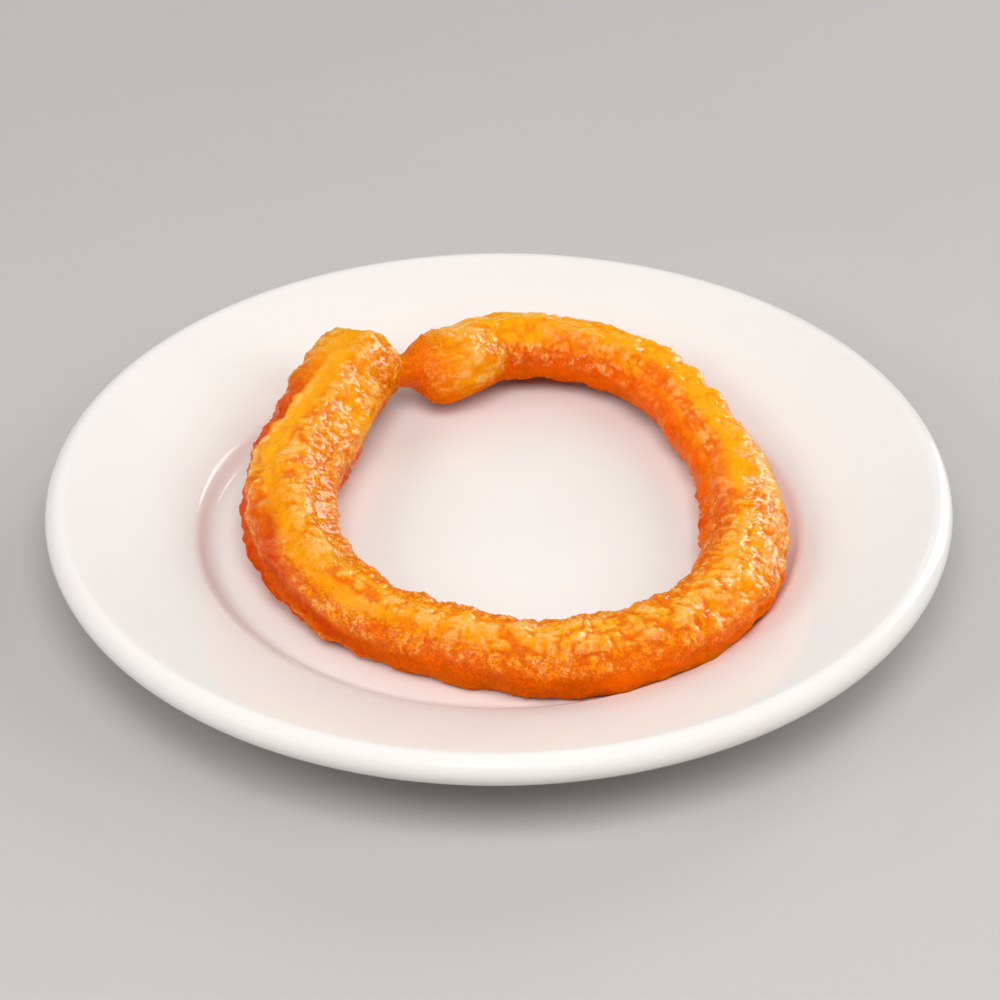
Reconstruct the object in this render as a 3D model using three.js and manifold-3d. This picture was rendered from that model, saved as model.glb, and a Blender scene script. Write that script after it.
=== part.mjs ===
// A ring of piped, fried dough, soaked in syrup, on a round white porcelain plate.
// Millimetres, +Z up. The origin is the middle of the plate's foot, on the surface it stands on.
// Turns are angles about +Z, from +X towards +Y. The ring is piped clockwise, seen from above.

import * as THREE from "three";
import { mergeVertices } from "three/addons/utils/BufferGeometryUtils.js";
import Module from "manifold-3d";

const degrees = THREE.MathUtils.degToRad;

// Plate: outer size, rim and lip
const PLATE_RADIUS = 105;
const PLATE_HEIGHT = 23.6;
const LIP_RADIUS = 3.6;
const LIP_LEAVES_AT = degrees(-105);
const RIM_SLOPE = degrees(21.5);
const RIM_THICKNESS = 4.8;
const RIM_THICKENS_FROM = 91;

// Plate: well, with a hollow fillet at its floor and a round shoulder under the rim
const FLOOR_TOP = 8.6;
const FLOOR_THICKNESS = 5;
const FLOOR_RADIUS = 65;
const WALL_SLOPE = degrees(48);
const FILLET_RADIUS = 6;
const SHOULDER_RADIUS = 6;

// Plate: foot ring and the recess inside it
const FOOT_OUTER_RADIUS = 66.6;
const FOOT_WIDTH = 4.2;
const FOOT_EDGE = 0.8;
const FOOT_ROOT_RADIUS = 74;
const RECESS_FILLET = 3;

const PLATE_SEGMENTS = 84;
const FLOOR_RINGS = [0, 0.4, 0.8];
const ARC_STEPS = 4;
const LIP_STEPS = 8;

// Ring: centre line, an oval with three soft corners, open at the back left. It bulges a little on the
// right, and is dented in front.
const RING_CENTRE = new THREE.Vector2(5, 2.2);
const RING_RADIUS = 57.1;
const OVAL_STRETCH = 5.1;
const OVAL_TURN = degrees(96.5);
const CORNER_STRETCH = 2.4;
const CORNER_TURN = degrees(75);
const BULGES = [
  { size: 1.6, at: degrees(14), spread: degrees(16) },
  { size: -1.6, at: degrees(-105), spread: degrees(14) },
];
const TIP_TURN = degrees(118);
const TIP_DROOP = 5;
const TIP_DROOP_TURN = degrees(107.5);
const TIP_DROOP_SPREAD = degrees(8.5);
const BUTT_TURN = degrees(125.5);
const BUTT_FLARE = 8.2;
const BUTT_FLARE_SPAN = degrees(34);
const BUTT_FLARE_POWER = 1.5;
const BUTT_SWELL = 1;

// Ring: section, a softened star, fat on the left and the near right, its ridges clearest on the left
const HALF_WIDTH = 9.7;
const FAT_SIDE_SWELL = 0.95;
const FAT_SIDE_TURN = degrees(172);
const FAT_CORNER_SWELL = 1.1;
const FAT_CORNER_TURN = degrees(-25);
const HEIGHT_RATIO = 0.85;
const RIDGES = 6;
const RIDGE_DEPTH = 1.1;
const RIDGE_START = degrees(-27);
const RIDGE_TWIST = degrees(80);
const RIDGE_FADE = 20;
const RIDGE_CLEARER = 0.35;
const RIDGE_CLEAR_TURN = degrees(185);
const LUMP_HEIGHT = 0.3;
const LUMP_LENGTH = 9;
const LUMP_SPREAD = 0.75;
const LUMP_WAVES = 14;

// Ring: its ends, a tapered tip and a blunt butt cut askew, and the neck of dough that joins them
const TIP_TAPER = 10;
const TIP_ROUNDNESS = 1.85;
const BUTT_TAPER = 2;
const BUTT_ROUNDNESS = 5;
const BUTT_SKEW = 2.2;
const BUTT_SKEW_SPAN = 14;
const NECK_RADIUS = 3.1;
const NECK_FLARE = 1.6;
const NECK_FLARE_POWER = 2;
const NECK_START = 5;
const NECK_END = 10;

// Ring: how it lies on the plate, sunk a little under its weight, its back up on the shoulder
const REST_GAP = 0.3;
const SINK = 0.08;
const BACK_LIFT = 2.6;
const BACK_LIFT_FROM = 15;
const BACK_LIFT_SPAN = 45;

const RING_STEPS = 160;
const POINTS_A_RIDGE = 4;
const NECK_SIDES = 14;
const NECK_STEPS = 10;
const SAME_POINT = 1e-4;

const PORCELAIN = new THREE.MeshStandardMaterial({ color: 0xf0eeea, roughness: 0.15, metalness: 0 });
const DOUGH = new THREE.MeshStandardMaterial({ color: 0xe8920f, roughness: 0.25, metalness: 0 });

const wasm = await Module();
wasm.setup();

// Points on an arc of the plate's profile; each is a radius and a height.
function arc(centre, radius, from, to, steps) {
  const points = [];
  for (let step = 0; step <= steps; step += 1) {
    const angle = from + ((to - from) * step) / steps;
    const offset = new THREE.Vector2(Math.cos(angle), Math.sin(angle)).multiplyScalar(radius);
    points.push(offset.add(centre));
  }
  return points;
}

function along(start, slope, distance) {
  return new THREE.Vector2(Math.cos(slope), Math.sin(slope)).multiplyScalar(distance).add(start);
}

const lipCentre = new THREE.Vector2(PLATE_RADIUS - LIP_RADIUS, PLATE_HEIGHT - LIP_RADIUS);

// The upper face: flat floor, hollow fillet, wall, round shoulder, straight rim, up to the lip.
function plateTopProfile() {
  const quarter = Math.PI / 2;
  const filletCentre = new THREE.Vector2(FLOOR_RADIUS, FLOOR_TOP + FILLET_RADIUS);
  const fillet = arc(filletCentre, FILLET_RADIUS, -quarter, WALL_SLOPE - quarter, ARC_STEPS);
  const wallFoot = fillet.at(-1);
  const wallFaces = WALL_SLOPE + quarter;
  const rimFaces = RIM_SLOPE + quarter;
  const rimEnd = along(lipCentre, rimFaces, LIP_RADIUS);
  // The wall's line and the rim's line cross where the shoulder would be if it were sharp.
  const drop = rimEnd.y - wallFoot.y - (rimEnd.x - wallFoot.x) * Math.tan(RIM_SLOPE);
  const reach = drop / (Math.tan(WALL_SLOPE) - Math.tan(RIM_SLOPE));
  const corner = along(wallFoot, WALL_SLOPE, reach / Math.cos(WALL_SLOPE));
  const tangent = SHOULDER_RADIUS * Math.tan((WALL_SLOPE - RIM_SLOPE) / 2);
  const shoulderStart = along(corner, WALL_SLOPE, -tangent);
  const shoulderCentre = along(shoulderStart, WALL_SLOPE - quarter, SHOULDER_RADIUS);
  const shoulder = arc(shoulderCentre, SHOULDER_RADIUS, wallFaces, rimFaces, ARC_STEPS);
  const floor = FLOOR_RINGS.map((share) => new THREE.Vector2(FLOOR_RADIUS * share, FLOOR_TOP));
  const middle = shoulder.at(-1).clone().lerp(rimEnd, 0.5);
  return [...floor, ...fillet, ...shoulder, middle, rimEnd];
}

// The lip, the underside of the rim, the foot ring and the recess, back to the axis.
function plateUnderProfile() {
  const lip = arc(lipCentre, LIP_RADIUS, RIM_SLOPE + Math.PI / 2, LIP_LEAVES_AT, LIP_STEPS).slice(1);
  const underLip = along(lipCentre, RIM_SLOPE - Math.PI / 2, RIM_THICKNESS - LIP_RADIUS);
  const underRim = (radius) => {
    const height = underLip.y - (underLip.x - radius) * Math.tan(RIM_SLOPE);
    return new THREE.Vector2(radius, height);
  };
  const recessTop = FLOOR_TOP - FLOOR_THICKNESS;
  const footInner = FOOT_OUTER_RADIUS - FOOT_WIDTH;
  const recessEdge = footInner - FOOT_EDGE;
  const recessCentre = new THREE.Vector2(recessEdge - RECESS_FILLET, recessTop - RECESS_FILLET);
  return [
    ...lip,
    underRim(RIM_THICKENS_FROM),
    underRim(FOOT_ROOT_RADIUS),
    new THREE.Vector2(FOOT_OUTER_RADIUS + 2 * FOOT_EDGE, recessTop),
    new THREE.Vector2(FOOT_OUTER_RADIUS + FOOT_EDGE, FOOT_EDGE),
    new THREE.Vector2(FOOT_OUTER_RADIUS, 0),
    new THREE.Vector2(footInner, 0),
    ...arc(recessCentre, RECESS_FILLET, 0, Math.PI / 2, ARC_STEPS),
    new THREE.Vector2(recessCentre.x / 2, recessTop),
    new THREE.Vector2(0, recessTop),
  ];
}

const topProfile = plateTopProfile();

// Height of the plate's upper face at a distance from its axis.
function plateTop(radius) {
  const next = topProfile.findIndex((point) => point.x > radius);
  const before = topProfile[next - 1];
  const share = (radius - before.x) / (topProfile[next].x - before.x);
  return before.y + share * (topProfile[next].y - before.y);
}

function makePlate() {
  const profile = [...topProfile, ...plateUnderProfile()].reverse();
  const geometry = new THREE.LatheGeometry(profile, PLATE_SEGMENTS);
  geometry.rotateX(Math.PI / 2);
  return new THREE.Mesh(geometry, PORCELAIN);
}

// How near a turn is to the butt, from 0 to 1 at its end.
const buttShare = (turn) =>
  Math.max(0, 1 - (turn + 2 * Math.PI - BUTT_TURN) / BUTT_FLARE_SPAN) ** BUTT_FLARE_POWER;

const halfWidthAt = (turn) =>
  HALF_WIDTH
  + BUTT_SWELL * buttShare(turn)
  + FAT_SIDE_SWELL * Math.cos(turn - FAT_SIDE_TURN)
  + FAT_CORNER_SWELL * Math.cos(2 * (turn - FAT_CORNER_TURN));

// The ring's centre line, from the tapered tip clockwise round to the butt.
class RingPath extends THREE.Curve {
  turnAt(share) {
    return TIP_TURN - share * (2 * Math.PI - (BUTT_TURN - TIP_TURN));
  }

  getPoint(share, target = new THREE.Vector3()) {
    const turn = this.turnAt(share);
    const droop = Math.exp(-(((turn - TIP_DROOP_TURN) / TIP_DROOP_SPREAD) ** 2));
    const bulges = BULGES.map(({ size, at, spread }) => size * Math.exp(-(((turn - at) / spread) ** 2)));
    const radius = RING_RADIUS
      + OVAL_STRETCH * Math.cos(2 * (turn - OVAL_TURN))
      + CORNER_STRETCH * Math.cos(3 * (turn - CORNER_TURN))
      + bulges.reduce((total, size) => total + size)
      - TIP_DROOP * droop
      + BUTT_FLARE * buttShare(turn);
    const y = RING_CENTRE.y + radius * Math.sin(turn);
    const halfHeight = HEIGHT_RATIO * halfWidthAt(turn);
    const lift = BACK_LIFT * THREE.MathUtils.smoothstep(y, BACK_LIFT_FROM, BACK_LIFT_FROM + BACK_LIFT_SPAN);
    const z = FLOOR_TOP + REST_GAP + (1 - SINK) * halfHeight + lift;
    return target.set(RING_CENTRE.x + radius * Math.cos(turn), y, z);
  }
}

const ringPath = new RingPath();
const ringLength = ringPath.getLength();

// Directions spread evenly over a sphere, each with its own wave, for the dough's lumps.
const lumpWaves = Array.from({ length: LUMP_WAVES }, (_, index) => {
  const golden = Math.PI * (3 - Math.sqrt(5));
  const height = 1 - (2 * index + 1) / LUMP_WAVES;
  const flat = Math.sqrt(1 - height * height);
  const turn = index * golden;
  const direction = new THREE.Vector3(flat * Math.cos(turn), flat * Math.sin(turn), height);
  const length = LUMP_LENGTH * LUMP_SPREAD * (1 + index / LUMP_WAVES);
  return { push: direction.multiplyScalar((2 * Math.PI) / length), phase: index * index };
});

function lumpAt(point) {
  const sum = lumpWaves.reduce((total, wave) => total + Math.sin(wave.push.dot(point) + wave.phase), 0);
  return sum / Math.sqrt(LUMP_WAVES / 2);
}

// How much of its full section the ring has at a distance from one of its ends.
function endShare(distance, taper, roundness) {
  const short = Math.max(0, 1 - distance / taper);
  return (1 - short ** roundness) ** (1 / roundness);
}

// One ring of points of the section, pushed up where it would sink into the plate.
function sectionPoints(share, pointCount) {
  const centre = ringPath.getPointAt(share);
  const forward = ringPath.getTangentAt(share);
  const outward = new THREE.Vector3(0, 0, 1).cross(forward).normalize();
  const upward = new THREE.Vector3().crossVectors(forward, outward);
  const turn = ringPath.turnAt(ringPath.getUtoTmapping(share));
  const distance = share * ringLength;
  const size = endShare(distance, TIP_TAPER, TIP_ROUNDNESS)
    * endShare(ringLength - distance, BUTT_TAPER, BUTT_ROUNDNESS);
  const halfWidth = halfWidthAt(turn);
  const skew = BUTT_SKEW * THREE.MathUtils.smoothstep(distance, ringLength - BUTT_SKEW_SPAN, ringLength);
  const clear = 1 + RIDGE_CLEARER * Math.cos(turn - RIDGE_CLEAR_TURN);
  const ridgeHeight = (RIDGE_DEPTH / 2) * clear * THREE.MathUtils.smoothstep(distance, 0, RIDGE_FADE);
  return Array.from({ length: pointCount }, (_, index) => {
    const around = (2 * Math.PI * index) / pointCount;
    const facing = around + RIDGE_START + RIDGE_TWIST * share;
    const ridge = ridgeHeight * Math.cos(RIDGES * around);
    const unit = outward.clone().multiplyScalar(Math.cos(facing));
    unit.addScaledVector(upward, HEIGHT_RATIO * Math.sin(facing));
    const smooth = centre.clone().addScaledVector(unit, halfWidth * size);
    const relief = (ridge + LUMP_HEIGHT * lumpAt(smooth)) * size;
    const point = smooth.addScaledVector(unit, relief).addScaledVector(forward, -skew * Math.cos(facing));
    point.z = Math.max(point.z, plateTop(Math.hypot(point.x, point.y)) + REST_GAP);
    return point;
  });
}

// A closed skin over the sections, drawn to a point at each end.
function makeTube() {
  const pointCount = RIDGES * POINTS_A_RIDGE;
  const positions = [...ringPath.getPointAt(0).toArray()];
  for (let step = 1; step < RING_STEPS; step += 1) {
    for (const point of sectionPoints(step / RING_STEPS, pointCount)) {
      positions.push(point.x, point.y, point.z);
    }
  }
  positions.push(...ringPath.getPointAt(1).toArray());
  const last = positions.length / 3 - 1;
  const index = [];
  for (let side = 0; side < pointCount; side += 1) {
    const next = (side + 1) % pointCount;
    index.push(0, 1 + next, 1 + side);
    for (let step = 0; step < RING_STEPS - 2; step += 1) {
      const near = 1 + step * pointCount;
      const far = near + pointCount;
      index.push(near + side, near + next, far + side, near + next, far + next, far + side);
    }
    const rim = last - pointCount;
    index.push(rim + side, rim + next, last);
  }
  const geometry = new THREE.BufferGeometry();
  geometry.setAttribute("position", new THREE.Float32BufferAttribute(positions, 3));
  geometry.setIndex(index);
  return geometry;
}

// The short neck of dough pulled out between the tip and the side of the butt, thinnest in its middle.
function makeNeck() {
  const start = ringPath.getPointAt(NECK_START / ringLength);
  const end = ringPath.getPointAt(1 - NECK_END / ringLength);
  const span = new THREE.Vector3().subVectors(end, start);
  const length = span.length();
  const sides = Array.from({ length: NECK_STEPS + 1 }, (_, step) => {
    const fromMiddle = (2 * step) / NECK_STEPS - 1;
    const radius = NECK_RADIUS * (1 + NECK_FLARE * Math.abs(fromMiddle) ** NECK_FLARE_POWER);
    return new THREE.Vector2(radius, (fromMiddle * length) / 2);
  });
  const bottom = new THREE.Vector2(0, -length / 2);
  const top = new THREE.Vector2(0, length / 2);
  const geometry = new THREE.LatheGeometry([bottom, ...sides, top], NECK_SIDES);
  const upright = new THREE.Vector3(0, 1, 0);
  const lean = new THREE.Quaternion().setFromUnitVectors(upright, span.normalize());
  geometry.applyQuaternion(lean);
  const middle = start.add(end).multiplyScalar(0.5);
  return geometry.translate(middle.x, middle.y, middle.z);
}

function toSolid(geometry) {
  const bare = new THREE.BufferGeometry();
  bare.setAttribute("position", geometry.getAttribute("position"));
  bare.setIndex(geometry.getIndex());
  const merged = mergeVertices(bare, SAME_POINT);
  const vertProperties = new Float32Array(merged.getAttribute("position").array);
  const triVerts = new Uint32Array(merged.getIndex().array);
  return new wasm.Manifold(new wasm.Mesh({ numProp: 3, vertProperties, triVerts }));
}

function makeRing() {
  const joined = toSolid(makeTube()).add(toSolid(makeNeck())).getMesh();
  const geometry = new THREE.BufferGeometry();
  geometry.setAttribute("position", new THREE.Float32BufferAttribute(joined.vertProperties, 3));
  geometry.setIndex(Array.from(joined.triVerts));
  geometry.computeVertexNormals();
  return new THREE.Mesh(geometry, DOUGH);
}

const group = new THREE.Group();
const plate = makePlate();
plate.name = "plate";
const doughRing = makeRing();
doughRing.name = "dough_ring";
group.add(plate, doughRing);

export default group;
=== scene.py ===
import math
from itertools import product

import bpy
import numpy as np
from mathutils import Matrix, Vector


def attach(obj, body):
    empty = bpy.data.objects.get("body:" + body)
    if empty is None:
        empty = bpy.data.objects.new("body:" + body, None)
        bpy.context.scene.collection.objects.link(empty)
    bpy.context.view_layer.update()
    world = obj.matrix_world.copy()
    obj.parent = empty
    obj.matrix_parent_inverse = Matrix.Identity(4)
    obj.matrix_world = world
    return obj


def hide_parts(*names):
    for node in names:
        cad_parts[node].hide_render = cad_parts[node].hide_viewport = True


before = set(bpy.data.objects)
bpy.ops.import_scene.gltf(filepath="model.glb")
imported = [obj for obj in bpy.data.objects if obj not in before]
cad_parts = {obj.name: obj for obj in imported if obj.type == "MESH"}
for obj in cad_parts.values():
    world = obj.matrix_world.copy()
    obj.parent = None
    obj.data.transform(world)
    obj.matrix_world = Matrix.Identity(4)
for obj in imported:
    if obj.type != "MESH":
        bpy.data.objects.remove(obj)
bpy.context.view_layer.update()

# Sizes are in millimetres, as on the solids, and MM turns them to metres where a mesh is made.
MM = 0.001

# Plate: outer size, rim and lip
PLATE_RADIUS = 105.0
PLATE_HEIGHT = 23.6
LIP_RADIUS = 3.6
LIP_LEAVES_AT = math.radians(-105)
RIM_SLOPE = math.radians(21.5)
RIM_THICKNESS = 4.8
RIM_THICKENS_FROM = 91.0

# Plate: well, foot ring and recess
FLOOR_TOP = 8.6
FLOOR_THICKNESS = 5.0
FLOOR_RADIUS = 65.0
WALL_SLOPE = math.radians(48)
FILLET_RADIUS = 6.0
SHOULDER_RADIUS = 6.0
FOOT_OUTER_RADIUS = 66.6
FOOT_WIDTH = 4.2
FOOT_EDGE = 0.8
FOOT_ROOT_RADIUS = 74.0
RECESS_FILLET = 3.0
PLATE_SEGMENTS = 256

# Ring: centre line, and its bulges as size, turn and spread
RING_CENTRE = (5.0, 2.2)
RING_RADIUS = 57.1
OVAL_STRETCH = 5.1
OVAL_TURN = math.radians(96.5)
CORNER_STRETCH = 2.4
CORNER_TURN = math.radians(75)
BULGES = ((1.6, math.radians(14), math.radians(16)), (-1.6, math.radians(-105), math.radians(14)))
TIP_TURN = math.radians(118)
TIP_DROOP = 5.0
TIP_DROOP_TURN = math.radians(107.5)
TIP_DROOP_SPREAD = math.radians(8.5)
BUTT_TURN = math.radians(125.5)
BUTT_FLARE = 8.2
BUTT_FLARE_SPAN = math.radians(34)
BUTT_FLARE_POWER = 1.5
BUTT_SWELL = 1.0

# Ring: section and its two ends
HALF_WIDTH = 9.7
FAT_SIDE_SWELL = 0.95
FAT_SIDE_TURN = math.radians(172)
FAT_CORNER_SWELL = 1.1
FAT_CORNER_TURN = math.radians(-25)
HEIGHT_RATIO = 0.85
TIP_TAPER = 10.0
TIP_ROUNDNESS = 1.85
BUTT_TAPER = 2.0
BUTT_ROUNDNESS = 5.0
BUTT_SKEW = 2.2
BUTT_SKEW_SPAN = 14.0

# Ring: piped ridges and slow lumps
RIDGES = 6
RIDGE_DEPTH = 1.1
RIDGE_START = math.radians(-27)
RIDGE_TWIST = math.radians(80)
RIDGE_FADE = 20.0
RIDGE_WANDER = 0.6
RIDGE_CLEARER = 0.35
RIDGE_CLEAR_TURN = math.radians(185)
RIDGE_UNEVEN = 0.35
RIDGE_SHARE_BELOW = 0.4
LUMP_HEIGHT = 0.3
LUMP_LENGTH = 9.0
LUMP_SPREAD = 0.75
LUMP_WAVES = 14

# Neck between the ring's ends: shape, grid and even marks for its colour
NECK_RADIUS = 3.1
NECK_FLARE = 1.6
NECK_FLARE_POWER = 2.0
NECK_START = 5.0
NECK_END = 10.0
NECK_UNEVEN = 0.12
NECK_STEPS = 40
NECK_SIDES = 48
NECK_GOLD_AND_TOP_LIGHT = 0.35
NECK_MARKS = {
    "rough": 0.5,
    "amber": 0.0,
    "crease_shade": 0.3,
    "peak_and_sheen": 0.0,
    "red_and_shade": 0.2,
    "brown": 0.7,
    "sugar": 0.0,
    "wet": 0.5,
}

# Ring: how it lies on the plate
REST_GAP = 0.3
TOUCH_GAP = 0.08
SINK = 0.08
SAG = 3.0
BACK_LIFT = 2.6
BACK_LIFT_FROM = 15.0
BACK_LIFT_SPAN = 45.0

# Ring: grid, closer on top than below
PATH_SAMPLES = 4001
RING_STEPS = 860
RING_SIDES = 112
TOP_DENSITY = 0.35

# Noise over the ring: the size of its cells and its seed
WANDER_NOISE = (26.0, 3)
UNEVEN_NOISE = (16.0, 4)
ROUGH_NOISE = (15.0, 5)
PUFF_NOISES = ((5.0, 6), (2.6, 7), (1.4, 8))
STREAK_NOISE = (2.0, 11)
NECK_NOISE = (2.2, 12)
CLOUD_NOISE = (6.0, 13)
BROWN_NOISE = (9.0, 15)
HIGHLIGHT_NOISE = (3.2, 16)

# Noise drawn out round the section: its rate along the ring and in the two directions across it
WANDER_STRETCH = (1, 0.15, 0.15)
STREAK_STRETCH = (1, 0.35, 0.35)

# Fried crust: heights, and the turns about the ring's centre where it changes
PUFF_HEIGHTS = (0.5, 0.9, 0.5)
PUFF_MEAN = 0.4
STREAK_HEIGHT = 0.25
SMOOTH_TURN = math.radians(70)
ENDS_TURN = math.radians(122)
ENDS_NEAR = (0.88, 0.97)
FRONT_TURN = math.radians(-100)
# Where the pale painted highlight, kept in the marks named sugar, lies on the outer right
HIGHLIGHT_TURN = math.radians(-12)
HIGHLIGHT_SPREAD = math.radians(26)

# Fried crust: distances from the tip and from the butt over which a colour sets in
TIP_BROWNS = (12.0, 4.0)
AMBER_STARTS = (12.0, 35.0)

# Fold on the outer left: its course by distance from the butt, and its bands in radians round the section
FOLD_FACING = math.radians(82)
FOLD_DROP = math.radians(0.6)
FOLD_DIVE = math.radians(0.0055)
FOLD_WANDER = 0.1
FOLD_STARTS = (5.0, 30.0)
FOLD_ENDS = (126.0, 100.8)
FOLD_REDDENS = (58.0, 84.0)
FOLD_DEPTH = 0.35
FOLD_WIDTH = 0.075
FOLD_LIP_ABOVE = 0.18
FOLD_LIP_SHARE = 0.5
# The fold's redder bands under the groove and above it are partly painted shade
RED_UNDER_STARTS = (0.1, -0.1)
RED_UNDER_ENDS = (-0.8, -0.4)
RED_ABOVE_STARTS = (0.2, 0.35)
RED_ABOVE_ENDS = (1.2, 0.75)

# Small dark knobs, their redder colour partly painted shade: turn and facing in degrees
KNOBS = ((-14, 165), (-71, -30), (-58, -30))
KNOB_SIZE = 2.0
KNOB_HEIGHT = 1.2

# Crust colours over the deep orange of its sides, itself partly painted shade: mark, pattern, its two
# levels, cover and colour
SIDE_COLOUR = 0xFA6600
CRUST_LAYERS = (
    # Yellow-orange on top: partly the crust's own colour, partly painted light
    ("gold_and_top_light", "cloud", 0.05, 0.40, 1.0, 0xF8A000),
    ("amber", "cloud", 0.32, 0.50, 0.85, 0xFFA600),
    # Painted shade in the creases between the puffs
    ("crease_shade", "cloud", 0.26, 0.42, 0.8, 0xE46400),
    # Pale peaks: drier crust with a painted highlight, and a painted reflection on the inner left flank
    ("peak_and_sheen", "mottle", 0.42, 0.54, 0.85, 0xFCB860),
    # Redder grooves, fold, foot and knobs: partly the crust's own colour, partly painted shade
    ("red_and_shade", "cloud", 0.16, 0.40, 0.95, 0xC83800),
    ("brown", "grain", 0.44, 0.56, 0.7, 0xE06000),
    ("brown", "fine", 0.46, 0.58, 0.6, 0xCC5000),
    ("rough", "fine", 0.58, 0.68, 0.4, 0xD86000),
    # The marks named sugar paint a pale highlight on the outer right and on crests on top, with dark
    # pores
    ("sugar", "grain", 0.58, 0.42, 0.85, 0xFFDCA8),
    ("sugar", "fine", 0.52, 0.58, 0.7, 0xD07818),
)

# Crust patterns: grain and edge roughness, the fine one drawn coarser than real specks so that it shows
CRUST_PATTERNS = {"cloud": (5.0, 0.5), "mottle": (2.6, 0.62), "grain": (1.5, 0.6), "fine": (0.65, 0.5)}

# Crust: relief of the crumb and of the syrup's film, and how far light runs in the soaked dough
CRUMB_HEIGHT = 1.0
FILM_RIPPLE = 1.2
FILM_HEIGHT = 0.4
LIGHT_DEPTH = 13.0

# Glaze and floor: sizes of their cloudiness and waviness, and colours
GLAZE_CLOUD = 28.0
GLAZE_WAVE = 14.0
GLAZE_WAVE_HEIGHT = 0.12
GLAZE_COLOURS = (0xE6E2DE, 0xEAE7E3)
GROUND_CLOUD = 120.0
GROUND_COLOURS = (0xB8B6B4, 0xBEBCBA)


def linear(colour):
    """A linear colour with alpha from an sRGB hex value such as 0xF2EFEB."""
    parts = [(colour >> shift & 255) / 255 for shift in (16, 8, 0)]
    return [p / 12.92 if p <= 0.04045 else ((p + 0.055) / 1.055) ** 2.4 for p in parts] + [1.0]


def smooth_step(low, high, value):
    """0 at low, 1 at high, and the cubic 3t^2 - 2t^3 between them. Low may be the larger."""
    t = np.clip((value - low) / (high - low), 0, 1)
    return t * t * (3 - 2 * t)


def wrapped(angle):
    """The same angle from -pi to pi."""
    return (angle + math.pi) % (2 * math.pi) - math.pi


def lattice_noise(points, size, seed):
    """Smooth noise from -1 to 1: seeded random values on a cubic lattice of that cell size in mm,
    blended between the eight corners of each point's cell with the cubic 3t^2 - 2t^3."""
    side = 64
    table = np.random.default_rng(seed).uniform(-1, 1, (side, side, side))
    scaled = points / size
    cell = np.floor(scaled).astype(int)
    part = scaled - cell
    part = part * part * (3 - 2 * part)
    total = 0
    for corner in product((0, 1), repeat=3):
        weight = np.prod(np.where(corner, part, 1 - part), axis=-1)
        i, j, k = np.moveaxis((cell + corner) % side, -1, 0)
        total = total + weight * table[i, j, k]
    return total


def axes_along(line):
    """Unit vectors at each point of a line: forward along it, outward across it and level, and upward."""
    forward = np.gradient(line, axis=0)
    forward /= np.linalg.norm(forward, axis=1, keepdims=True)
    outward = np.cross((0, 0, 1), forward)
    outward /= np.linalg.norm(outward, axis=1, keepdims=True)
    return forward, outward, np.cross(forward, outward)


def closed_skin(name, rows, poles):
    """A closed mesh over a grid: each row of points is a loop, quads join each row to the next, and
    fans of triangles join the first and the last row to the two poles."""
    count, around = rows.shape[:2]
    index = np.arange(count * around).reshape(count, around)
    turned = np.roll(index, -1, axis=1)
    quads = np.stack([index[:-1], turned[:-1], turned[1:], index[1:]], axis=-1).reshape(-1, 4)
    first, last = count * around, count * around + 1
    start_fan = np.stack([np.full(around, first), turned[0], index[0]], axis=-1)
    end_fan = np.stack([np.full(around, last), index[-1], turned[-1]], axis=-1)
    points = np.concatenate([rows.reshape(-1, 3), np.asarray(poles)]) * MM
    mesh = bpy.data.meshes.new(name)
    mesh.from_pydata(points.tolist(), [], quads.tolist() + start_fan.tolist() + end_fan.tolist())
    mesh.polygons.foreach_set("use_smooth", np.ones(len(mesh.polygons), dtype=bool))
    mesh.update()
    piece = bpy.data.objects.new(name, mesh)
    bpy.context.scene.collection.objects.link(piece)
    return piece


def paint(piece, name, values):
    """A number for each point of a piece, kept in its mesh for its material to read."""
    poles = [values[0].mean(), values[-1].mean()]
    attribute = piece.data.attributes.new(name, "FLOAT", "POINT")
    attribute.data.foreach_set("value", np.append(values, poles).astype(np.float32))


# Plate


def arc(centre, radius, start, end, steps):
    """Points of radius and height on a circle's arc between two angles."""
    angle = np.linspace(start, end, steps + 1)
    return np.stack([centre[0] + radius * np.cos(angle), centre[1] + radius * np.sin(angle)], axis=-1)


def straight(start, end, steps):
    """Points evenly spaced on a line, without its ends."""
    share = np.arange(1, steps)[:, None] / steps
    return np.asarray(start) * (1 - share) + np.asarray(end) * share


def along(start, slope, distance):
    """The point at a distance from another in the direction of a slope."""
    return (start[0] + distance * math.cos(slope), start[1] + distance * math.sin(slope))


def plate_top_profile():
    """The upper face from the axis outwards: a flat floor, a hollow fillet up to the wall, a round
    shoulder tangent to the wall and to the rim, and the straight rim up to the lip."""
    quarter = math.pi / 2
    fillet_centre = (FLOOR_RADIUS, FLOOR_TOP + FILLET_RADIUS)
    fillet = arc(fillet_centre, FILLET_RADIUS, -quarter, WALL_SLOPE - quarter, steps=12)
    foot = fillet[-1]
    lip_centre = (PLATE_RADIUS - LIP_RADIUS, PLATE_HEIGHT - LIP_RADIUS)
    rim_end = along(lip_centre, RIM_SLOPE + quarter, LIP_RADIUS)
    drop = rim_end[1] - foot[1] - (rim_end[0] - foot[0]) * math.tan(RIM_SLOPE)
    reach = drop / (math.tan(WALL_SLOPE) - math.tan(RIM_SLOPE))
    corner = along(foot, WALL_SLOPE, reach / math.cos(WALL_SLOPE))
    tangent = SHOULDER_RADIUS * math.tan((WALL_SLOPE - RIM_SLOPE) / 2)
    start = along(corner, WALL_SLOPE, -tangent)
    centre = along(start, WALL_SLOPE - quarter, SHOULDER_RADIUS)
    shoulder = arc(centre, SHOULDER_RADIUS, WALL_SLOPE + quarter, RIM_SLOPE + quarter, steps=10)
    well = straight((0, FLOOR_TOP), fillet[0], steps=14)
    rim = straight(shoulder[-1], rim_end, steps=10)
    return np.concatenate([well, fillet, shoulder, rim])


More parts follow.
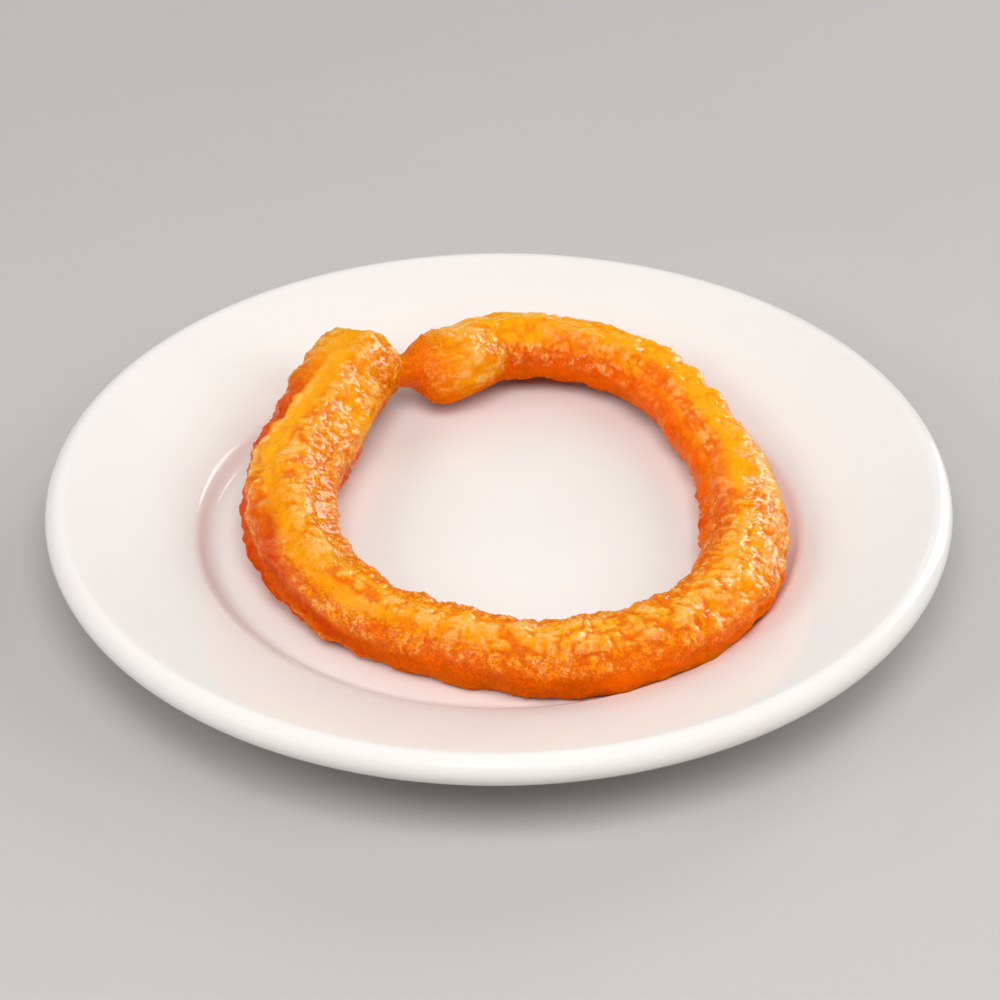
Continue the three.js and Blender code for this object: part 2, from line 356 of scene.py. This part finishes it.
def plate_under_profile():
    """The lip's round edge, the underside of the rim, the foot ring and the recess, back to the axis."""
    quarter = math.pi / 2
    lip_centre = (PLATE_RADIUS - LIP_RADIUS, PLATE_HEIGHT - LIP_RADIUS)
    lip = arc(lip_centre, LIP_RADIUS, RIM_SLOPE + quarter, LIP_LEAVES_AT, steps=28)
    under_lip = along(lip_centre, RIM_SLOPE - quarter, RIM_THICKNESS - LIP_RADIUS)

    def under_rim(radius):
        """The point of the rim's underside at a distance from the axis."""
        return (radius, under_lip[1] - (under_lip[0] - radius) * math.tan(RIM_SLOPE))

    recess_top = FLOOR_TOP - FLOOR_THICKNESS
    foot_inner = FOOT_OUTER_RADIUS - FOOT_WIDTH
    recess_centre = (foot_inner - FOOT_EDGE - RECESS_FILLET, recess_top - RECESS_FILLET)
    recess = arc(recess_centre, RECESS_FILLET, 0, quarter, steps=8)
    corners = [
        under_rim(RIM_THICKENS_FROM),
        under_rim(FOOT_ROOT_RADIUS),
        (FOOT_OUTER_RADIUS + 2 * FOOT_EDGE, recess_top),
        (FOOT_OUTER_RADIUS + FOOT_EDGE, FOOT_EDGE),
        (FOOT_OUTER_RADIUS, 0),
        (foot_inner, 0),
    ]
    stretches = [lip]
    for start, end in zip([lip[-1], *corners[:-1]], corners):
        stretches += [straight(start, end, steps=4), [end]]
    stretches += [recess, straight(recess[-1], (0, recess_top), steps=8)]
    return np.concatenate(stretches)


top_profile = plate_top_profile()


def plate_top(radius):
    """Height of the plate's upper face at a distance from its axis."""
    return np.interp(radius, top_profile[:, 0], top_profile[:, 1])


def make_plate():
    """The plate's profile turned about the axis: each profile point becomes a circle of points."""
    profile = np.concatenate([top_profile, plate_under_profile()])
    turn = np.linspace(0, 2 * math.pi, PLATE_SEGMENTS, endpoint=False)
    radius, height = profile[:, 0, None], profile[:, 1, None]
    rows = np.stack([radius * np.cos(turn), radius * np.sin(turn), height + 0 * turn], axis=-1)
    poles = [(0, 0, FLOOR_TOP), (0, 0, FLOOR_TOP - FLOOR_THICKNESS)]
    return closed_skin("porcelain_plate", rows[::-1], poles[::-1])


# Dough ring: a turn is an angle about its centre, and a facing is one round its section, 0 outwards


def butt_share(turn):
    """How near a turn is to the butt: 1 at its end, falling to 0 over the flare's span, as a power."""
    return np.maximum(0, 1 - (turn + 2 * math.pi - BUTT_TURN) / BUTT_FLARE_SPAN) ** BUTT_FLARE_POWER


def half_width(turn):
    """Half the ring's width: a mean, swollen at the butt, by a cosine on its fat side and by one of twice
    the rate at its two fat corners."""
    return (
        HALF_WIDTH
        + BUTT_SWELL * butt_share(turn)
        + FAT_SIDE_SWELL * np.cos(turn - FAT_SIDE_TURN)
        + FAT_CORNER_SWELL * np.cos(2 * (turn - FAT_CORNER_TURN))
    )


def centre_line(turn):
    """Points of the ring's middle at a turn about its centre: a circle stretched to an oval and to
    three soft corners, bulging on the right, dented in front, drooping inwards near the tip and flaring
    outwards at the butt. Its height is half the section's above the plate, a little sunk, and lifted
    where the back lies on the shoulder."""
    droop = np.exp(-(((turn - TIP_DROOP_TURN) / TIP_DROOP_SPREAD) ** 2))
    bulges = [size * np.exp(-(((turn - middle) / spread) ** 2)) for size, middle, spread in BULGES]
    radius = (
        RING_RADIUS
        + OVAL_STRETCH * np.cos(2 * (turn - OVAL_TURN))
        + CORNER_STRETCH * np.cos(3 * (turn - CORNER_TURN))
        + sum(bulges)
        - TIP_DROOP * droop
        + BUTT_FLARE * butt_share(turn)
    )
    x = RING_CENTRE[0] + radius * np.cos(turn)
    y = RING_CENTRE[1] + radius * np.sin(turn)
    lift = BACK_LIFT * smooth_step(BACK_LIFT_FROM, BACK_LIFT_FROM + BACK_LIFT_SPAN, y)
    z = FLOOR_TOP + REST_GAP + (1 - SINK) * HEIGHT_RATIO * half_width(turn) + lift
    return np.stack([x, y, z], axis=-1)


def path_by_length(count):
    """The turn at evenly spaced distances along the centre line, with the distances, from the tip."""
    turn = np.linspace(TIP_TURN, BUTT_TURN - 2 * math.pi, PATH_SAMPLES)
    steps = np.linalg.norm(np.diff(centre_line(turn), axis=0), axis=1)
    distance = np.concatenate([[0], np.cumsum(steps)])
    even = np.linspace(0, distance[-1], count)
    return np.interp(even, distance, turn), even


def end_share(distance, taper, roundness):
    """The share of the full section at a distance from an end: a superellipse over the taper."""
    short = np.maximum(0, 1 - distance / taper)
    return (1 - short**roundness) ** (1 / roundness)


def near_turn(turn, middle, low, high):
    """0 to 1 as the cosine of the angle from a turn to the middle rises from low to high."""
    return smooth_step(low, high, np.cos(turn - middle))


def lumps(points):
    """Slow lumps of the dough: sine waves of several lengths along directions spread over a sphere."""
    index = np.arange(LUMP_WAVES)
    top_light_and_gold = math.pi * (3 - math.sqrt(5))
    height = 1 - (2 * index + 1) / LUMP_WAVES
    flat = np.sqrt(1 - height * height)
    direction = np.stack([flat * np.cos(index * top_light_and_gold), flat * np.sin(index * top_light_and_gold), height])
    length = LUMP_LENGTH * LUMP_SPREAD * (1 + index / LUMP_WAVES)
    waves = np.sin(points @ (direction * 2 * math.pi / length) + index * index)
    return waves.sum(axis=-1) / math.sqrt(LUMP_WAVES / 2)


def piped_ridges(across, turn, facing, length, wander):
    """The piped ridges, as a share from 0 in a groove to 1 on a crest, and as a height in mm: a cosine
    round the section that twists along the ring, wanders, fades at the tip, is clearest on the left and
    is low on the underside."""
    distance = across[..., 0]
    around = facing - RIDGE_START - RIDGE_TWIST * distance / length
    crest = 0.5 + 0.5 * np.cos(RIDGES * around + wander) * smooth_step(0, RIDGE_FADE, distance)
    depth = 1 + RIDGE_CLEARER * np.cos(turn - RIDGE_CLEAR_TURN)
    depth = depth + RIDGE_UNEVEN * lattice_noise(across, *UNEVEN_NOISE)
    upper = smooth_step(-0.2, 0.5, np.sin(facing))
    share = RIDGE_SHARE_BELOW + (1 - RIDGE_SHARE_BELOW) * upper
    return crest, RIDGE_DEPTH * depth * (crest - 0.5) * share


def fried_crust(across, turn, facing, crest):
    """The fried crust over the straightened ring: how rough it is, the level of its puffs, both from 0
    to 1, and its height in mm. Puffs are the size of noise without its sign, so that creases run
    between them. They stand on the ridges, at the ring's ends and in rough patches, while the grooves,
    the foot and the outer back right are smoother. Fine streaks run round the section."""
    patches = lattice_noise(across, *ROUGH_NOISE) + 0.6 * (crest - 0.5)
    ends = near_turn(turn, ENDS_TURN, *ENDS_NEAR)
    smooth_side = np.cos(turn - SMOOTH_TURN) * smooth_step(-0.6, 0.0, np.cos(facing))
    rough = smooth_step(-0.6, 0.3, patches + 0.8 * ends - 0.8 * smooth_side)
    rough = rough * smooth_step(-0.9, -0.5, np.sin(facing))
    puffs = [np.abs(lattice_noise(across, *noise)) for noise in PUFF_NOISES]
    total = sum(height * puff for height, puff in zip(PUFF_HEIGHTS, puffs))
    puffed = total - PUFF_MEAN * sum(PUFF_HEIGHTS)
    streak = STREAK_HEIGHT * lattice_noise(across * STREAK_STRETCH, *STREAK_NOISE)
    height = puffed * (0.7 + 0.3 * rough) + streak * (0.4 + 0.6 * rough)
    return rough, total / sum(PUFF_HEIGHTS), height


def crust_marks(across, turn, facing, crest, rough, level, from_butt):
    """Marks from 0 to 1 for the crust's colours. They follow the way a point faces, with a rise of 1 on
    top and -1 underneath, the ridges and noise. Yellow-orange lies on top, on the ends and on the inner
    left, partly the crust's own colour and partly painted light, and amber in the valleys between the top
    ridges. Painted shade darkens the creases between the puffs, and pale peaks, drier crust with a
    painted highlight, stand on them and reach down the inner left flank as a painted reflection, but not
    in the left valley or at the tip. Redder colour, partly painted shade, lies in the outer left grooves
    and at the foot, brown on the sides, the tip and the front's inner edge, and a pale painted highlight,
    named sugar, on the outer right. The wet film of syrup is thickest on top."""
    rise = np.sin(facing) + 0 * turn
    groove = 1 - crest
    cloud = lattice_noise(across, *CLOUD_NOISE)
    inner = smooth_step(0.2, -0.4, np.cos(facing))
    inner_left = inner * np.cos(turn - RIDGE_CLEAR_TURN)
    ends = near_turn(turn, ENDS_TURN, *ENDS_NEAR)
    tip = smooth_step(*TIP_BROWNS, across[..., 0])
    corner = np.exp(-(((turn - HIGHLIGHT_TURN) / HIGHLIGHT_SPREAD) ** 2))
    corner = corner * smooth_step(0.0, 0.4, rise) * smooth_step(-0.1, 0.3, np.cos(facing))

    # Partly the crust's own colour, partly painted light on top, on the outer right and on the shaded
    # inner left
    top_light_and_gold = rise + 0.35 * cloud + 0.6 * ends + 0.4 * corner + 0.7 * inner_left
    valley = smooth_step(0.4, 0.95, rise) * smooth_step(0.35, 0.8, groove + 0.2 * cloud)
    mottled = 1 - 0.75 * valley * near_turn(turn, RIDGE_CLEAR_TURN, 0.0, 0.8)
    mottled = mottled * (1 - 0.8 * tip)
    # Painted shade in the creases between the puffs, where their level is low
    crease_shade = mottled * (0.5 + 0.5 * rough) * (1 - 0.6 * ends) * smooth_step(0.28, 0.14, level)
    # Pale peaks: drier crust with a painted highlight, reaching the inner left flank as a painted
    # reflection
    peak_and_sheen = mottled * rough * smooth_step(0.24, 0.36, level)
    peak_and_sheen = peak_and_sheen * smooth_step(0.1, 0.5, rise + 0.4 * inner + 0.5 * inner_left)

    # Redder lower outer left grooves and foot: partly the crust's own colour, partly painted shade
    red_and_shaded_groove = smooth_step(0.5, 0.95, groove) * smooth_step(0.55, 0.05, rise)
    red_and_shaded_groove = red_and_shaded_groove * near_turn(turn, RIDGE_CLEAR_TURN, 0.3, 1.0)
    foot = smooth_step(-0.6, -0.9, rise)
    browned = lattice_noise(across, *BROWN_NOISE) + 0.6 * near_turn(turn, FRONT_TURN, 0.3, 0.8)
    sides = rough * smooth_step(0.95, 0.6, rise) * smooth_step(-0.4, 0.3, browned)
    inner_edge = inner * smooth_step(0.98, 0.85, rise) * smooth_step(-0.2, 0.3, rise)
    inner_edge = inner_edge * near_turn(turn, FRONT_TURN, -0.5, 0.2)
    # The mark named sugar: a pale painted highlight on the outer right and on crests on top
    painted_highlight = corner + 0.12 * rough * crest * smooth_step(0.3, 0.7, rise)
    inner_film = 0.6 * inner * smooth_step(0.4, 0.9, np.abs(np.cos(turn)))
    return {
        "rough": rough,
        "gold_and_top_light": smooth_step(-0.1, 0.8, top_light_and_gold) * (1 - 0.6 * tip),
        "amber": valley * smooth_step(*AMBER_STARTS, from_butt),
        "crease_shade": crease_shade,
        "peak_and_sheen": peak_and_sheen,
        "red_and_shade": np.maximum(red_and_shaded_groove, foot),
        "brown": np.maximum.reduce([sides, 0.6 * tip, inner_edge]),
        "sugar": painted_highlight * smooth_step(-0.1, 0.3, lattice_noise(across, *HIGHLIGHT_NOISE)),
        "wet": np.maximum(smooth_step(-0.1, 0.8, rise), inner_film),
    }


def add_fold(marks, facing, from_butt):
    """The fold on the outer left, as a height in mm: a groove with a lip above it, each with the profile
    exp(-x^2). From the butt it sinks round the section, by the distance and by its square. The groove,
    the side under it and a band above it get redder, partly as painted shade, and the lip gets paler,
    partly as a painted highlight."""
    reach = smooth_step(*FOLD_STARTS, from_butt) * smooth_step(*FOLD_ENDS, from_butt)
    beside = wrapped(facing - FOLD_FACING + FOLD_DROP * from_butt + FOLD_DIVE * from_butt**2)
    groove = reach * np.exp(-((beside / FOLD_WIDTH) ** 2))
    lip = reach * np.exp(-(((beside - FOLD_LIP_ABOVE) / FOLD_WIDTH) ** 2))
    under = reach * smooth_step(*RED_UNDER_STARTS, beside) * smooth_step(*RED_UNDER_ENDS, beside)
    above = reach * smooth_step(*RED_ABOVE_STARTS, beside) * smooth_step(*RED_ABOVE_ENDS, beside)
    above = above * smooth_step(*FOLD_REDDENS, from_butt)
    marks["red_and_shade"] = np.maximum.reduce([marks["red_and_shade"], groove, under, above])
    marks["peak_and_sheen"] = np.maximum(marks["peak_and_sheen"] * (1 - under), lip)
    return FOLD_DEPTH * (FOLD_LIP_SHARE * lip - groove)


def add_knobs(marks, turn, facing, width):
    """Small knobs, as a height in mm: round bumps with the profile exp(-r^2), which get redder, partly as
    painted shade.
    """
    bumps = 0
    for knob_turn, knob_facing in np.radians(KNOBS):
        lengthways = (turn - knob_turn) * RING_RADIUS
        sideways = wrapped(facing - knob_facing) * width
        bumps = bumps + np.exp(-(lengthways**2 + sideways**2) / KNOB_SIZE**2)
    marks["red_and_shade"] = np.maximum(marks["red_and_shade"], bumps)
    return KNOB_HEIGHT * bumps


def make_ring():
    """The dough: a section carried along the centre line. Each point lies on an ellipse about the line,
    which narrows at the two ends, and is pushed outwards by the ridges, the lumps, the crust, the fold
    and the knobs. The butt is cut askew. Where the gap to the plate is less than the sag, the point
    sinks by a share that grows as the gap closes, and it never enters the plate."""
    turn, distance = path_by_length(RING_STEPS + 1)
    length = distance[-1]
    line = centre_line(turn)
    poles = [line[0], line[-1]]
    forward, outward, upward = (axis[1:-1, None] for axis in axes_along(line))
    line, turn, distance = (part[1:-1, None] for part in (line, turn, distance))
    from_butt = length - distance
    even = np.linspace(0, 2 * math.pi, RING_SIDES, endpoint=False)
    facing = (even + TOP_DENSITY * np.cos(even))[None, :]
    size = end_share(distance, TIP_TAPER, TIP_ROUNDNESS)
    size = size * end_share(from_butt, BUTT_TAPER, BUTT_ROUNDNESS)
    width = half_width(turn)
    spoke = outward * np.cos(facing)[..., None] + upward * HEIGHT_RATIO * np.sin(facing)[..., None]
    smooth = line + spoke * (width * size)[..., None]
    # The straightened ring: distance along it, and the place across its section
    across = np.stack([distance + 0 * facing, width * np.cos(facing), width * np.sin(facing)], axis=-1)

    wander = RIDGE_WANDER * lattice_noise(across * WANDER_STRETCH, *WANDER_NOISE)
    crest, ridges = piped_ridges(across, turn, facing, length, wander)
    rough, level, crust = fried_crust(across, turn, facing, crest)
    marks = crust_marks(across, turn, facing, crest, rough, level, from_butt)
    fold = add_fold(marks, facing + FOLD_WANDER * wander, from_butt)
    knobs = add_knobs(marks, turn, facing, width)
    relief = ridges + LUMP_HEIGHT * lumps(smooth) + crust + fold + knobs
    skew = BUTT_SKEW * smooth_step(BUTT_SKEW_SPAN, 0, from_butt) * np.cos(facing)
    points = smooth + spoke * (relief * size)[..., None] - forward * skew[..., None]
    support = plate_top(np.hypot(points[..., 0], points[..., 1])) + TOUCH_GAP
    gap = np.maximum(points[..., 2] - support, 0)
    points[..., 2] = support + gap * smooth_step(0, SAG, gap)

    dough = closed_skin("dough_ring_crust", points, poles)
    for name, values in marks.items():
        paint(dough, name, values)
    return dough


def make_neck():
    """A short pulled neck from inside the tip to inside the butt: circles along a straight line,
    narrowest in the middle, where their radius is the neck's, and made uneven by noise."""
    turn, distance = path_by_length(RING_STEPS + 1)
    line = centre_line(turn)
    start = line[np.searchsorted(distance, NECK_START)]
    end = line[np.searchsorted(distance, distance[-1] - NECK_END)]
    share = np.linspace(0, 1, NECK_STEPS + 1)[:, None]
    even = np.linspace(0, 2 * math.pi, NECK_SIDES, endpoint=False)[None, :]
    outward, upward = (axis[0] for axis in axes_along(np.stack([start, end]))[1:])
    radius = NECK_RADIUS * (1 + NECK_FLARE * np.abs(2 * share - 1) ** NECK_FLARE_POWER)
    middle = (start + (end - start) * share)[:, None]
    spoke = outward * (radius * np.cos(even))[..., None] + upward * (radius * np.sin(even))[..., None]
    uneven = 1 + NECK_UNEVEN * lattice_noise(middle + spoke, *NECK_NOISE)
    dough = closed_skin("neck", middle + spoke * uneven[..., None], [start, end])
    # More yellow-orange on the neck's top than below it: partly painted light
    marks = NECK_MARKS | {"gold_and_top_light": NECK_GOLD_AND_TOP_LIGHT * (1 + np.sin(even))}
    for name, value in marks.items():
        paint(dough, name, value + 0 * share * even)
    return dough


def fuse(piece, other):
    """One solid of two: other is joined to piece and removed."""
    join = piece.modifiers.new("fuse", "BOOLEAN")
    join.operation = "UNION"
    join.solver = "MANIFOLD"
    join.object = other
    bpy.context.view_layer.objects.active = piece
    bpy.ops.object.modifier_apply(modifier=join.name)
    bpy.data.objects.remove(other)


# Materials


def add_node(tree, kind, values=None, **settings):
    """Adds a node: settings are its own properties, and values go to its inputs. An output given as
    a value is linked."""
    node = tree.nodes.new(kind)
    for name, setting in settings.items():
        setattr(node, name, setting)
    for name, value in (values or {}).items():
        if isinstance(value, bpy.types.NodeSocket):
            tree.links.new(value, node.inputs[name])
        else:
            node.inputs[name].default_value = value
    return node


def new_material(name):
    """An empty node material, with its tree and the object's own coordinates in metres."""
    material = bpy.data.materials.new(name)
    material.use_nodes = True
    tree = material.node_tree
    tree.nodes.clear()
    place = add_node(tree, "ShaderNodeTexCoord").outputs["Object"]
    return material, tree, place


def glazed_porcelain():
    """Slip-cast porcelain under a clear glaze: a warm white body that is barely cloudy, sharp
    reflections, and a faint waviness of the glaze."""
    material, tree, place = new_material("glazed_porcelain")
    cloud = add_node(
        tree, "ShaderNodeTexNoise", {"Vector": place, "Scale": 1 / (GLAZE_CLOUD * MM), "Detail": 2.0}
    )
    darker, lighter = map(linear, GLAZE_COLOURS)
    body = add_node(tree, "ShaderNodeMix", {0: cloud.outputs[0], 6: darker, 7: lighter}, data_type="RGBA")
    wave = add_node(
        tree, "ShaderNodeTexNoise", {"Vector": place, "Scale": 1 / (GLAZE_WAVE * MM), "Detail": 1.0}
    )
    bump = add_node(
        tree,
        "ShaderNodeBump",
        {"Height": wave.outputs[0], "Strength": 0.25, "Distance": GLAZE_WAVE_HEIGHT * MM},
    )
    shader = add_node(
        tree,
        "ShaderNodeBsdfPrincipled",
        {
            "Base Color": body.outputs[2],
            "Roughness": 0.12,
            "IOR": 1.5,
            "Specular IOR Level": 0.3,
            "Normal": bump.outputs[0],
        },
    )
    add_node(tree, "ShaderNodeOutputMaterial", {"Surface": shader.outputs[0]})
    return material


def syrup_soaked_crust():
    """Fried dough soaked in sugar syrup: translucent, deep orange on its sides and yellow-orange on top,
    partly painted shade and painted light, with amber valleys, dark creases of painted shade between pale
    peaks that are partly a painted highlight, a redder fold and foot, partly painted shade, brown specks
    and a pale painted highlight on the outer right. Each colour's share is its mark times a smooth step
    of its pattern between two levels. The crust is rough where it puffed up, under a clear wet film that
    the wet mark makes thicker."""
    material, tree, place = new_material("syrup_soaked_crust")
    patterns = {}
    for name, (size, edge) in CRUST_PATTERNS.items():
        noise = add_node(
            tree,
            "ShaderNodeTexNoise",
            {"Vector": place, "Scale": 1 / (size * MM), "Detail": 4.0, "Roughness": edge},
        )
        patterns[name] = noise.outputs[0]
    colour = linear(SIDE_COLOUR)
    for name, pattern, start, end, cover, tint in CRUST_LAYERS:
        mark = add_node(tree, "ShaderNodeAttribute", attribute_name=name)
        patches = add_node(
            tree,
            "ShaderNodeMapRange",
            {0: patterns[pattern], 1: start, 2: end, 4: cover},
            interpolation_type="SMOOTHSTEP",
        )
        share = add_node(
            tree, "ShaderNodeMath", {0: mark.outputs["Fac"], 1: patches.outputs[0]}, operation="MULTIPLY"
        )
        mix = add_node(
            tree, "ShaderNodeMix", {0: share.outputs[0], 6: colour, 7: linear(tint)}, data_type="RGBA"
        )
        colour = mix.outputs[2]
    rough = add_node(tree, "ShaderNodeAttribute", attribute_name="rough").outputs["Fac"]
    gloss = add_node(tree, "ShaderNodeMapRange", {0: rough, 3: 0.3, 4: 0.45})
    relief = add_node(tree, "ShaderNodeMapRange", {0: rough, 3: 0.45, 4: 1.0})
    wet = add_node(tree, "ShaderNodeAttribute", attribute_name="wet").outputs["Fac"]
    wetness = add_node(tree, "ShaderNodeMapRange", {0: wet, 3: 0.1, 4: 0.65})
    crumb = add_node(
        tree, "ShaderNodeMath", {0: patterns["mottle"], 1: patterns["grain"]}, operation="ADD"
    )
    bump = add_node(
        tree,
        "ShaderNodeBump",
        {"Height": crumb.outputs[0], "Strength": relief.outputs[0], "Distance": CRUMB_HEIGHT * MM},
    )
    ripple = add_node(
        tree, "ShaderNodeTexNoise", {"Vector": place, "Scale": 1 / (FILM_RIPPLE * MM), "Detail": 0.0}
    )
    film = add_node(
        tree,
        "ShaderNodeBump",
        {"Height": ripple.outputs[0], "Strength": relief.outputs[0], "Distance": FILM_HEIGHT * MM},
    )
    shader = add_node(
        tree,
        "ShaderNodeBsdfPrincipled",
        {
            "Base Color": colour,
            "Roughness": gloss.outputs[0],
            "IOR": 1.45,
            "Specular IOR Level": 0.0,
            "Subsurface Weight": 0.75,
            "Subsurface Radius": (1.0, 0.07, 0.02),
            "Subsurface Scale": LIGHT_DEPTH * MM,
            "Coat Weight": wetness.outputs[0],
            "Coat Roughness": 0.06,
            "Coat IOR": 1.5,
            "Coat Normal": film.outputs[0],
            "Normal": bump.outputs[0],
        },
    )
    add_node(tree, "ShaderNodeOutputMaterial", {"Surface": shader.outputs[0]})
    return material


def pale_floor():
    """A plain pale matt floor, with a barely visible cloudiness."""
    material, tree, place = new_material("pale_floor")
    cloud = add_node(
        tree, "ShaderNodeTexNoise", {"Vector": place, "Scale": 1 / (GROUND_CLOUD * MM), "Detail": 3.0}
    )
    darker, lighter = map(linear, GROUND_COLOURS)
    tone = add_node(tree, "ShaderNodeMix", {0: cloud.outputs[0], 6: darker, 7: lighter}, data_type="RGBA")
    shader = add_node(tree, "ShaderNodeBsdfPrincipled", {"Base Color": tone.outputs[2], "Roughness": 0.7})
    add_node(tree, "ShaderNodeOutputMaterial", {"Surface": shader.outputs[0]})
    return material


# Pieces

plate = make_plate()
plate.data.materials.append(glazed_porcelain())
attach(plate, "root")
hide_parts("plate")

ring = make_ring()
neck = make_neck()
soaked = syrup_soaked_crust()
ring.data.materials.append(soaked)
neck.data.materials.append(soaked)
fuse(ring, neck)
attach(ring, "root")
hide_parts("dough_ring")

# Floor

FLOOR_HALF_SIDE = 3.0
corner_signs = ((-1, -1), (1, -1), (1, 1), (-1, 1))
floor_corners = [(x * FLOOR_HALF_SIDE, y * FLOOR_HALF_SIDE, 0) for x, y in corner_signs]
floor_mesh = bpy.data.meshes.new("floor")
floor_mesh.from_pydata(floor_corners, [], [(0, 1, 2, 3)])
floor = bpy.data.objects.new("floor", floor_mesh)
floor.data.materials.append(pale_floor())
bpy.context.scene.collection.objects.link(floor)

# Light


def add_light(name, place, width, height, watts, shades=True, mirrors=False):
    """A soft box at a place in metres, turned to the middle of the plate. It lights matt surfaces where
    it shades, and is seen in glossy ones where it mirrors."""
    light = bpy.data.lights.new(name, "AREA")
    light.shape = "RECTANGLE"
    light.size = width
    light.size_y = height
    light.energy = watts
    lamp = bpy.data.objects.new(name, light)
    lamp.location = place
    lamp.rotation_euler = (-Vector(place)).to_track_quat("-Z", "Y").to_euler()
    lamp.visible_diffuse = shades
    lamp.visible_glossy = mirrors
    bpy.context.scene.collection.objects.link(lamp)


add_light("window_softbox", (1.06, 1.12, 0.62), 0.7, 1.2, 19, shades=False, mirrors=True)
add_light("window_fill", (0.94, 1.2, 0.62), 0.7, 1.2, 8)
add_light("top_softbox", (0.0, -0.7, 1.15), 0.8, 0.8, 12.5)
add_light("glint", (-0.1, -0.9, 1.3), 0.25, 0.25, 2, shades=False, mirrors=True)
add_light("back_left_fill", (-0.9, 1.2, 0.75), 0.9, 0.9, 4)
add_light("right_fill", (1.2, -0.4, 0.85), 0.9, 0.9, 7)
add_light("left_fill", (-1.1, -0.5, 0.85), 0.9, 0.6, 6)

world = bpy.data.worlds.new("studio")
world.use_nodes = True
world.node_tree.nodes["Background"].inputs["Color"].default_value = linear(0xFFFDFA)
world.node_tree.nodes["Background"].inputs["Strength"].default_value = 0.2
bpy.context.scene.world = world

# Camera, found from the plate's outline in the photograph

CAMERA_ELEVATION = math.radians(34.83)
CAMERA_DISTANCE = 0.8
CAMERA_ROLL = math.radians(-0.365)
CAMERA_TARGET = Vector((0.3, -3.34, 20.0)) * MM
FOCAL_PIXELS = 3451
IMAGE_PIXELS = 1000

camera = bpy.data.objects.new("camera", bpy.data.cameras.new("camera"))
camera.data.sensor_width = 36
camera.data.lens = FOCAL_PIXELS * camera.data.sensor_width / IMAGE_PIXELS
back = Vector((0, -math.cos(CAMERA_ELEVATION), math.sin(CAMERA_ELEVATION)))
right = Vector((1, 0, 0))
up = back.cross(right)
aim = Matrix((right, up, back)).transposed() @ Matrix.Rotation(CAMERA_ROLL, 3, "Z")
camera.matrix_world = Matrix.Translation(CAMERA_TARGET + back * CAMERA_DISTANCE) @ aim.to_4x4()
bpy.context.scene.collection.objects.link(camera)
bpy.context.scene.camera = camera
bpy.context.scene.view_settings.view_transform = "Standard"
